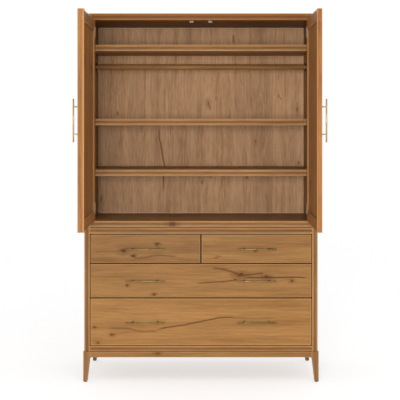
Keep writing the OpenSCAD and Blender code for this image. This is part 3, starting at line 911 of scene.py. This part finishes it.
@dataclass
class Assembly:
    """A sub-assembly: the workshop that makes it and the body that it moves with."""

    shop: Workshop
    body: str = "carcase"

    def place(
        self, maker: MeshMaker, finish: Material, slot: str, *nodes: str, turn: Matrix | None = None
    ) -> None:
        """Makes a piece, hangs it on the body, names its slot and hides what it stands for.

        Args:
            maker: the piece's mesh.
            finish: its material.
            slot: the record's material slot; not used.
            nodes: the CAD nodes that it stands for.
            turn: a placement of its points, which its grain ignores.
        """
        piece = maker.finish(finish, turn)
        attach(piece, self.body)
        if nodes:
            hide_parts(*nodes)
        log.info("%s: %d faces on %s", piece.name, len(piece.data.polygons), self.body)

    def cut(self, maker: MeshMaker, x: Pair, y: Pair, z: Pair, along: Axis, seed: int = 0) -> None:
        """Adds a board to a mesh.

        Args:
            maker: the mesh that takes it.
            x: its span along X.
            y: its span along Y.
            z: its span along Z.
            along: the way its grain runs.
            seed: picks the piece of timber; 0 takes a new one.
        """
        low, high = (Vector(corner) for corner in zip(x, y, z))
        self.shop.joinery.board(maker, low, high, along, seed or self.shop.next_seed())

    def board(
        self,
        node: str,
        along: Axis,
        finish: Material,
        slot: str = "oak_frame",
        bead: bool = False,
        seam: Pair = (0.0, 0.0),
        marked: bool = False,
    ) -> None:
        """Makes one board in the box of its CAD node.

        Args:
            node: the CAD node.
            along: the way its grain runs.
            finish: its material.
            slot: the record's material slot.
            bead: whether its front edge has the groove.
            seam: how far its underside and its top keep off their neighbours, so that the joint shows.
            marked: whether its finish has marks at places of their own.
        """
        low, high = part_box(node)
        low, high = low + Vector((0, 0, seam[0])), high - Vector((0, 0, seam[1]))
        maker = MeshMaker(node + "_board")
        seed = None if marked else self.shop.next_seed()
        self.shop.joinery.board(maker, low, high, along, seed, bead)
        self.place(maker, finish, slot, node)

    @staticmethod
    def dress(finish: Material, *nodes: str) -> None:
        """Gives CAD nodes that keep their shape their finish."""
        for node in nodes:
            for slot in frame["nodes"][node].material_slots:
                slot.material = finish
            log.info("%s keeps its shape", node)


@dataclass
class Base(Assembly):
    """The frame of four rails on four tapered legs."""

    leg_foot: float = 22 * MM
    leg_top: float = 36 * MM
    leg_step: float = 1 * MM
    fillet: float = 12 * MM
    glide: float = 3 * MM
    rail: float = 24 * MM
    ease: float = 2.2 * MM

    def build(self) -> None:
        """Makes the legs, the rails and the glides."""
        low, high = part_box("base_rails")
        for x_side in (-1, 1):
            for y_side in (-1, 1):
                self._leg(x_side, y_side, low.z, high.z)
        self._rails(low, high)
        self.dress(self.shop.palette.felt, "leg_glides")

    def _width_at(self, z: float, rail_low: float) -> float:
        """Width of a leg at a height."""
        fillet_z = rail_low - self.fillet
        if z >= rail_low:
            return self.leg_top
        if z > fillet_z:
            rise = (z - fillet_z) / self.fillet
            return self.leg_top + self.fillet * (1 - math.sqrt(max(0.0, 1 - rise * rise)))
        t = (z - self.glide) / (fillet_z - self.glide)
        return self.leg_foot + (self.leg_top - self.leg_step - self.leg_foot) * t

    def _leg(self, x_side: int, y_side: int, rail_low: float, top: float) -> None:
        """Makes one leg, square in section, with its outer faces upright.

        Args:
            x_side: -1 for left, 1 for right.
            y_side: -1 for front, 1 for back.
            rail_low: height of the rails' underside.
            top: height of its top.
        """
        node = f"leg_{'front' if y_side < 0 else 'back'}_{'left' if x_side < 0 else 'right'}"
        low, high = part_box(node)
        corner = Vector((low.x if x_side < 0 else high.x, low.y if y_side < 0 else high.y, 0))
        fillet_z = rail_low - self.fillet
        heights = [self.glide, self.glide + self.ease, self.glide + 2.5 * self.ease]
        heights += [fillet_z * t for t in (0.35, 0.65, 0.9)]
        heights += [fillet_z + self.fillet * math.sin(math.radians(a)) for a in (0, 20, 40, 55, 68, 80, 89)]
        heights += [rail_low, rail_low + 0.1 * MM, top - 2.5 * self.ease, top]
        grain = Grain.of(Vector((0, 0, 0)), Vector((0.04, 0.05, 0.16)), Axis.Z, self.shop.next_seed())
        rings = []
        for z in heights:
            inset = self.ease * 0.5 if z == self.glide else 0.0
            far = self._width_at(z, rail_low) - inset
            outline = self.shop.joinery.outline((inset, inset), (far, far), self.ease)
            points = [Vector((corner.x - x_side * a, corner.y - y_side * b, z)) for a, b, _ in outline]
            # leg edges: painted highlight, with some edge wear, at 0.6 strength
            rings.append(Ring(points, [0.6 * tone for _, _, tone in outline]))
        maker = MeshMaker(node + "_turned_square")
        maker.skin(rings, grain)
        self.place(maker, self.shop.palette.base, "oak_frame", node)

    def _rails(self, low: Vector, high: Vector) -> None:
        """Makes the four rails between the legs."""
        maker = MeshMaker("base_frame_rails")
        x_end, y_end = high.x - self.leg_top, self.leg_top
        for y in (low.y, high.y - self.rail):
            self.cut(maker, (-x_end, x_end), (y, y + self.rail), (low.z, high.z), Axis.X)
        for x in (low.x, high.x - self.rail):
            self.cut(maker, (x, x + self.rail), (low.y + y_end, high.y - y_end), (low.z, high.z), Axis.Y)
        self.place(maker, self.shop.palette.base, "oak_frame", "base_rails")


@dataclass
class Chest(Assembly):
    """The lower cabinet that holds the drawers."""

    seam: float = 2 * MM
    cross_rail: float = 60 * MM

    def build(self) -> None:
        """Makes the panels and dresses the slides."""
        palette = self.shop.palette
        for side in ("left", "right"):
            self.board("chest_side_" + side, Axis.Z, palette.frame, bead=True)
        self.board("chest_top", Axis.X, palette.frame, bead=True, seam=(0.0, self.seam))
        self.board("chest_bottom", Axis.X, palette.frame, bead=True, seam=(self.seam, 0.0))
        self.board("chest_back", Axis.X, palette.planks, "oak_planks")
        # divider and cross rails near-black: painted shadow seen through the drawer gaps
        self.board("chest_divider", Axis.Y, palette.shade, "inner_wood")
        low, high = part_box("chest_cross_rails")
        maker = MeshMaker("cross_rails")
        for y in (low.y, high.y - self.cross_rail):
            self.cut(maker, (low.x, high.x), (y, y + self.cross_rail), (low.z, high.z), Axis.X)
        # cross rails take the same painted shadow
        self.place(maker, palette.shade, "inner_wood", "chest_cross_rails")
        self.dress(palette.dull, "slide_channels")


@dataclass
class UpperCabinet(Assembly):
    """The upper cabinet with its shelves, hanging rail and fittings."""

    seam: float = 2 * MM
    rail_ease: float = 1.5 * MM
    catch_width: float = 22 * MM
    plate_proud: float = 1 * MM
    plate_inset: float = 2 * MM
    plate_deep: float = 6 * MM
    plate_thick: float = 2.5 * MM
    plate_margin: float = 1.5 * MM

    def build(self) -> None:
        """Makes the panels, the shelves and the fittings."""
        palette = self.shop.palette
        for side in ("left", "right"):
            self.board("cabinet_side_" + side, Axis.Z, palette.frame, bead=True)
        # cabinet top in the darker copy of the oak: painted shade under it
        self.board("cabinet_top", Axis.X, palette.dark, bead=True)
        for shelf in ("upper", "middle", "lower"):
            self.board("shelf_" + shelf, Axis.X, palette.frame, bead=True)
        self.board("cabinet_floor", Axis.X, palette.frame, bead=True, seam=(self.seam, 0.0))
        self.board("cabinet_back", Axis.Z, palette.planks, "oak_planks", marked=True)
        self._rail()
        self._catches()
        self.dress(palette.zinc, "shelf_pins", "hinge_frame_leaves", "hinge_pins")
        self.dress(palette.bronze, "rail_sockets", "cabinet_bolts")

    def _rail(self) -> None:
        """Makes the hanging rail, a turned dowel with softened ends."""
        low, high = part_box("hanging_rail")
        radius, length, soft = (high.z - low.z) / 2, high.x - low.x, self.rail_ease
        foot = Vector((low.x, (low.y + high.y) / 2, (low.z + high.z) / 2))
        half = [(0, radius - soft), (soft, radius), (length / 2, radius)]
        outline = half + [(length - soft, radius), (length, radius - soft)]
        maker = MeshMaker("hanging_rail_dowel")
        self.shop.lathe.turn(maker, foot, Vector((1, 0, 0)), outline)
        self.place(maker, self.shop.palette.frame, "oak_frame", "hanging_rail")

    def _catches(self) -> None:
        """Makes two magnetic catches: a housing with two pole plates showing at its front."""
        low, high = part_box("door_catches")
        housing, plates = MeshMaker("catch_housings"), MeshMaker("catch_plates")
        inset, deep = self.plate_inset, (low.y, low.y + self.plate_deep)
        for x in (low.x, high.x - self.catch_width):
            end = x + self.catch_width
            self.cut(housing, (x, end), (low.y + self.plate_proud, high.y), (low.z, high.z), Axis.X, 1)
            for z in (low.z + self.plate_margin, high.z - self.plate_margin - self.plate_thick):
                self.cut(plates, (x + inset, end - inset), deep, (z, z + self.plate_thick), Axis.X, 1)
        self.place(housing, self.shop.palette.zinc, "steel", "door_catches")
        self.place(plates, self.shop.palette.zinc, "steel")


@dataclass
class BarHandle:
    """A round bar on two posts with stepped feet."""

    lathe: Lathe
    length: float = 212 * MM
    bar_radius: float = 4 * MM
    post_radius: float = 3.5 * MM
    span: float = 134 * MM
    reach: float = 25 * MM
    foot_radius: float = 6 * MM

    def add(self, maker: MeshMaker, middle: Vector, out: Vector, along: Vector) -> None:
        """Adds one handle to a mesh.

        Args:
            maker: the mesh that takes it.
            middle: the middle of the handle, in the face of the wood.
            out: away from the wood.
            along: the way the bar runs.
        """
        r, p, f, reach = self.bar_radius, self.post_radius, self.foot_radius, self.reach
        soft = [(0.0, r * 0.55), (0.15 * MM, r * 0.72), (0.6 * MM, r * 0.92), (1.3 * MM, r)]
        bar = soft + [(self.length - a, q) for a, q in reversed(soft)]
        self.lathe.turn(maker, middle + out * reach - along * (self.length / 2), along, bar)
        post = [(0.0, f - 0.3 * MM), (0.4 * MM, f), (1.5 * MM, f), (2.0 * MM, f - 0.6 * MM)]
        post += [(2.2 * MM, p + 0.4 * MM), (3.4 * MM, p), (reach - 6 * MM, p * 0.94)]
        post += [(reach - 4.6 * MM, p), (reach - 1 * MM, p)]
        for side in (-1, 1):
            self.lathe.turn(maker, middle + along * (side * self.span / 2), out, post)


@dataclass
class Drawer(Assembly):
    """One drawer: its front, its box, its slide rails and its handles."""

    handles: str = "handle"
    wall: float = 12 * MM
    floor: float = 6 * MM
    floor_up: float = 10 * MM
    line_inset: float = 5.4 * MM
    line_half: float = 0.5 * MM
    line_depth: float = 0.7 * MM

    def build(self) -> None:
        """Makes the drawer."""
        self._front()
        self._box()
        self._handles()
        self.dress(self.shop.palette.dull, self.body + "_slides")

    def _front(self) -> None:
        """Makes the solid front with an eased edge and a fine line inside it; the edge carries a painted
        highlight with some edge wear, and the line's groove painted shade.
        """
        node = self.body + "_front"
        low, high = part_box(node)
        r, deep, line, half = self.shop.joinery.edge.radius, high.y - low.y, self.line_inset, self.line_half
        # the last number of each step is its tone: painted highlight above 0, painted shade below 0
        steps = [(deep, 3 * r, 0.0), (deep, r, 1.0), (deep - r, 0.0, 1.0), (deep - 3 * r, 0.0, 0.0)]
        steps += [(3 * r, 0.0, 0.0), (r, 0.0, 1.0), (0.3 * r, 0.3 * r, 1.0)]
        steps += [(0.0, r, 0.6), (0.0, 2.4 * r, 0.5)]
        steps += [(0.0, line - half, 0.4), (self.line_depth, line, -0.7), (0.0, line + half, 0.0)]
        steps += [(0.0, line + 5 * half, 0.0)]
        maker = MeshMaker(node + "_panel")
        self.shop.joinery.slab(maker, low, high, steps, Grain.of(low, high, Axis.X, None))
        self.place(maker, self.shop.palette.fronts[self.body], "oak_fronts", node)

    def _box(self) -> None:
        """Makes the two sides, the back and the inner front, with the bottom between them."""
        node = self.body + "_box"
        low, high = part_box(node)
        t, tall = self.wall, (low.z, high.z)
        inner, deep = (low.x + t, high.x - t), (low.y + t, high.y - t)
        base = low.z + self.floor_up
        maker = MeshMaker(node + "_boards")
        for x in (low.x, high.x - t):
            self.cut(maker, (x, x + t), (low.y, high.y), tall, Axis.Y)
        for y in (low.y, high.y - t):
            self.cut(maker, inner, (y, y + t), tall, Axis.X)
        self.cut(maker, inner, deep, (base, base + self.floor), Axis.X)
        self.place(maker, self.shop.palette.inner, "inner_wood", node)

    def _handles(self) -> None:
        """Makes the bar handles, level at the middle of the front."""
        node = f"{self.body}_{self.handles}"
        low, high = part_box(self.body + "_front")
        first, last = (corner.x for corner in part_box(node))
        handle = BarHandle(self.shop.lathe)
        half = handle.length / 2
        maker = MeshMaker(node + "_bars")
        for x in sorted({round(first + half, 4), round(last - half, 4)}):
            handle.add(maker, Vector((x, low.y, (low.z + high.z) / 2)), Vector((0, -1, 0)), Vector((1, 0, 0)))
        self.place(maker, self.shop.palette.brass, "brass", node)


@dataclass
class Door(Assembly):
    """One door, drawn closed and swung to where it stands."""

    side: str = "left"
    width: float = 596.5 * MM
    thick: float = 25 * MM
    frame_width: float = 56 * MM
    recess: float = 8 * MM
    panel: float = 11 * MM
    strip_width: float = 30 * MM
    strip_thick: float = 7 * MM
    tongue_inset: float = 3 * MM
    tongue_sunk: float = 1 * MM
    edge_off: float = 1 * MM
    face_off: float = 4.5 * MM
    handle_in: float = 50 * MM
    wrap: float = 2.4 * MM
    seam: float = 1.2 * MM
    hinge: float = 58 * MM
    screws: tuple[Pair, ...] = ((11 * MM, 14 * MM), (29 * MM, 24 * MM), (47 * MM, 14 * MM))

    def build(self) -> None:
        """Makes the door."""
        self.body = "door_" + self.side
        self.hand = -1 if self.side == "left" else 1
        joint = next(j for j in frame["joints"] if j["child"] == self.body)
        pivot = Vector(joint["pos_m"])
        spread = Matrix.Rotation(math.radians(-joint["range_deg"][0]), 4, Vector(joint["axis"]))
        self.turn = Matrix.Translation(pivot) @ spread @ Matrix.Translation(-pivot)
        self.edge = pivot.x - self.hand * self.edge_off
        self.face = pivot.y + self.face_off
        low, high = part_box(self.body + "_stiles")
        self.tall = (low.z, high.z)
        self._frame()
        self._panel()
        if self.side == "left":
            self._strip()
        self._handle()
        self._screws()
        self.dress(self.shop.palette.zinc, self.body + "_hinge_leaves")
        self.dress(self.shop.palette.steel, self.body + "_strike")

    def _span(self, start: float, end: float) -> Pair:
        """Lowest and highest X of a stretch measured from the hinge edge towards the free edge."""
        first, last = sorted((self.edge - self.hand * start, self.edge - self.hand * end))
        return first, last

    def _add(self, maker: MeshMaker, across: Pair, deep: Pair, tall: Pair, along: Axis) -> None:
        """Adds a board given by its distances from the hinge edge and from the outer face."""
        self.cut(maker, self._span(*across), (self.face + deep[0], self.face + deep[1]), tall, along)

    def _hang(self, maker: MeshMaker, finish: Material, slot: str, *parts: str) -> None:
        """Swings a piece to where the door stands and places it for the named parts of the door."""
        self.place(maker, finish, slot, *(f"{self.body}_{part}" for part in parts), turn=self.turn)

    def _frame(self) -> None:
        """Makes the two stiles and the two rails."""
        w, deep, (bottom, top) = self.frame_width, (0, self.thick), self.tall
        stiles = MeshMaker(self.body + "_stile_boards")
        for start in (0, self.width - w):
            self._add(stiles, (start, start + w), deep, self.tall, Axis.Z)
        self._hang(stiles, self.shop.palette.doors, "oak_doors", "stiles")
        rails = MeshMaker(self.body + "_rail_boards")
        for z in (bottom, top - w):
            self._add(rails, (w, self.width - w), deep, (z, z + w), Axis.X)
        self._hang(rails, self.shop.palette.doors, "oak_doors", "rails")

    def _panel(self) -> None:
        """Makes the panel between the frame's members."""
        w, front, (bottom, top) = self.frame_width, self.thick - self.recess - self.panel, self.tall
        maker = MeshMaker(self.body + "_panel_board")
        self._add(maker, (w, self.width - w), (front, front + self.panel), (bottom + w, top - w), Axis.Z)
        self._hang(maker, self.shop.palette.doors, "oak_doors", "panel")

    def _strip(self) -> None:
        """Makes the closing strip down the inside of the free edge, on a hidden tongue."""
        start, back, core = self.width - self.strip_width, self.thick + self.strip_thick, self.tongue_inset
        sunk, (bottom, top) = self.tongue_sunk, self.tall
        maker = MeshMaker(self.body + "_strip_board")
        self._add(maker, (start, self.width), (self.thick + self.seam, back), self.tall, Axis.Z)
        inner = (bottom + core, top - core)
        self._add(maker, (start + core, self.width - core), (self.thick - sunk, back - sunk), inner, Axis.Z)
        self._hang(maker, self.shop.palette.doors, "oak_doors", "closing_strip")

    def _handle(self) -> None:
        """Makes the bar handle, upright near the free edge."""
        x = self.edge - self.hand * (self.width - self.handle_in)
        middle = Vector((x, self.face, sum(self.tall) / 2))
        maker = MeshMaker(self.body + "_handle_bar")
        BarHandle(self.shop.lathe).add(maker, middle, Vector((0, -1, 0)), Vector((0, 0, 1)))
        self._hang(maker, self.shop.palette.brass_lit_copy, "brass", "handle")

    def _screws(self) -> None:
        """Makes the countersunk screw heads in the wrapped hinge leaves."""
        low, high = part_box(self.body + "_hinge_leaves")
        inner = self.face + self.thick + self.wrap
        head = [(-0.9, 3.2), (0.0, 3.6), (0.35, 3.2), (0.5, 1.9), (-0.5, 1.5)]
        outline = [(along * MM, radius * MM) for along, radius in head]
        maker = MeshMaker(self.body + "_hinge_screws")
        for start in (low.z, high.z - self.hinge):
            for up, across in self.screws:
                foot = Vector((self.edge - self.hand * across, inner, start + up))
                self.shop.lathe.turn(maker, foot, Vector((0, 1, 0)), outline)
        self._hang(maker, self.shop.palette.steel, "steel")


# ---------------------------------------------------------------- studio


@dataclass
class Studio:
    """Camera, soft lights and a pale floor between white walls.

    The camera stands level in front; fall and aside say how far its lens is shifted down and sideways,
    as slopes.
    """

    distance: float = 5.51
    eye: float = 1.4114
    lens: float = 91.88
    aside: float = -0.00093
    fall: float = 0.07807
    ambient: float = 0.62
    floor_half: float = 30.0
    wall_half: float = 13.0
    wall_top: float = 9.0

    def build(self) -> None:
        """Makes the camera, the lights, the floor and the walls."""
        scene = bpy.context.scene
        scene.view_settings.view_transform = "Standard"
        scene.view_settings.look = "None"
        self._camera(scene)
        self._world(scene)
        self._light("front_light", (-0.5, -6.8, 1.5), (0.0, 0.3, 1.0), size=1.5, power=285.0)
        self._light("top_light", (0.6, -2.8, 4.6), (0.0, 0.2, 0.9), size=2.6, power=40.0)
        self._room()

    def _camera(self, scene: bpy.types.Scene) -> None:
        """Makes a level camera that looks down by a shifted lens, so that upright lines stay upright.

        The shift is in the camera's holder, so the camera has a plain lens when it is off the holder.
        """
        aim = Vector((self.aside, 1.0, -self.fall))
        back = -aim.normalized()
        holder = bpy.data.objects.new("camera_holder", None)
        holder.location = (0.0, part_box("chest_bottom")[0].y - self.distance, self.eye)
        bpy.context.collection.objects.link(holder)
        data = bpy.data.cameras.new("camera")
        data.lens = self.lens * aim.length
        camera = bpy.data.objects.new("camera", data)
        bpy.context.collection.objects.link(camera)
        camera.parent = holder
        camera.matrix_parent_inverse = Matrix(
            ((1.0, 0.0, back.x, 0.0), (0.0, 0.0, back.y, 0.0), (0.0, 1.0, back.z, 0.0), (0.0, 0.0, 0.0, 1.0))
        )
        scene.camera = camera

    def _world(self, scene: bpy.types.Scene) -> None:
        """Makes even white surroundings."""
        world = bpy.data.worlds.new("white_room")
        world.use_nodes = True
        ground = world.node_tree.nodes["Background"]
        ground.inputs["Color"].default_value = (1.0, 1.0, 1.0, 1.0)
        ground.inputs["Strength"].default_value = self.ambient
        scene.world = world

    @staticmethod
    def _light(name: str, place: Triple, target: Triple, size: float, power: float) -> None:
        """Makes a square soft light that faces a target."""
        data = bpy.data.lights.new(name, "AREA")
        data.size = size
        data.energy = power
        light = bpy.data.objects.new(name, data)
        light.location = place
        light.rotation_mode = "QUATERNION"
        light.rotation_quaternion = (Vector(target) - Vector(place)).to_track_quat("-Z", "Y")
        bpy.context.collection.objects.link(light)

    def _room(self) -> None:
        """Makes a pale floor that runs out of sight, and white walls far off on every side."""
        halves = (self.floor_half, self.wall_half)
        floor, wall = ([(-half, -half), (half, -half), (half, half), (-half, half)] for half in halves)
        self._sheet("floor", [(x, y, 0.0) for x, y in floor], albedo=0.55, glow=0.53)
        for number, (a, b) in enumerate(zip(wall, wall[1:] + wall[:1])):
            corners = [(*a, 0.0), (*b, 0.0), (*b, self.wall_top), (*a, self.wall_top)]
            self._sheet(f"wall_{number}", corners, albedo=0.05, glow=0.98)

    @staticmethod
    def _sheet(name: str, corners: Sequence[Triple], albedo: float, glow: float) -> None:
        """Makes a flat pale surface of the studio, which glows a little so that shadows stay soft."""
        mesh = bpy.data.meshes.new(name)
        mesh.from_pydata(corners, [], [(0, 1, 2, 3)])
        made = bpy.data.objects.new(name, mesh)
        bpy.context.collection.objects.link(made)
        shader = Shader("pale_" + name)
        white, grey = (1.0, 1.0, 1.0), (albedo, albedo, albedo)
        shader.dress(Base_Color=grey, Roughness=0.9, Emission_Color=white, Emission_Strength=glow)
        mesh.materials.append(shader.material)


def main() -> None:
    """Builds the studio and every sub-assembly."""
    logging.basicConfig(level=logging.INFO, format="%(name)s: %(message)s")
    Studio().build()
    shop = Workshop()
    doors = (Door(shop, side="left"), Door(shop, side="right"))
    for assembly in (Base(shop), Chest(shop), UpperCabinet(shop), *doors):
        assembly.build()
    for name in ("top_left", "top_right"):
        Drawer(shop, "drawer_" + name).build()
    for name in ("middle", "bottom"):
        Drawer(shop, "drawer_" + name, "handles").build()


if __name__ == "__main__":
    main()
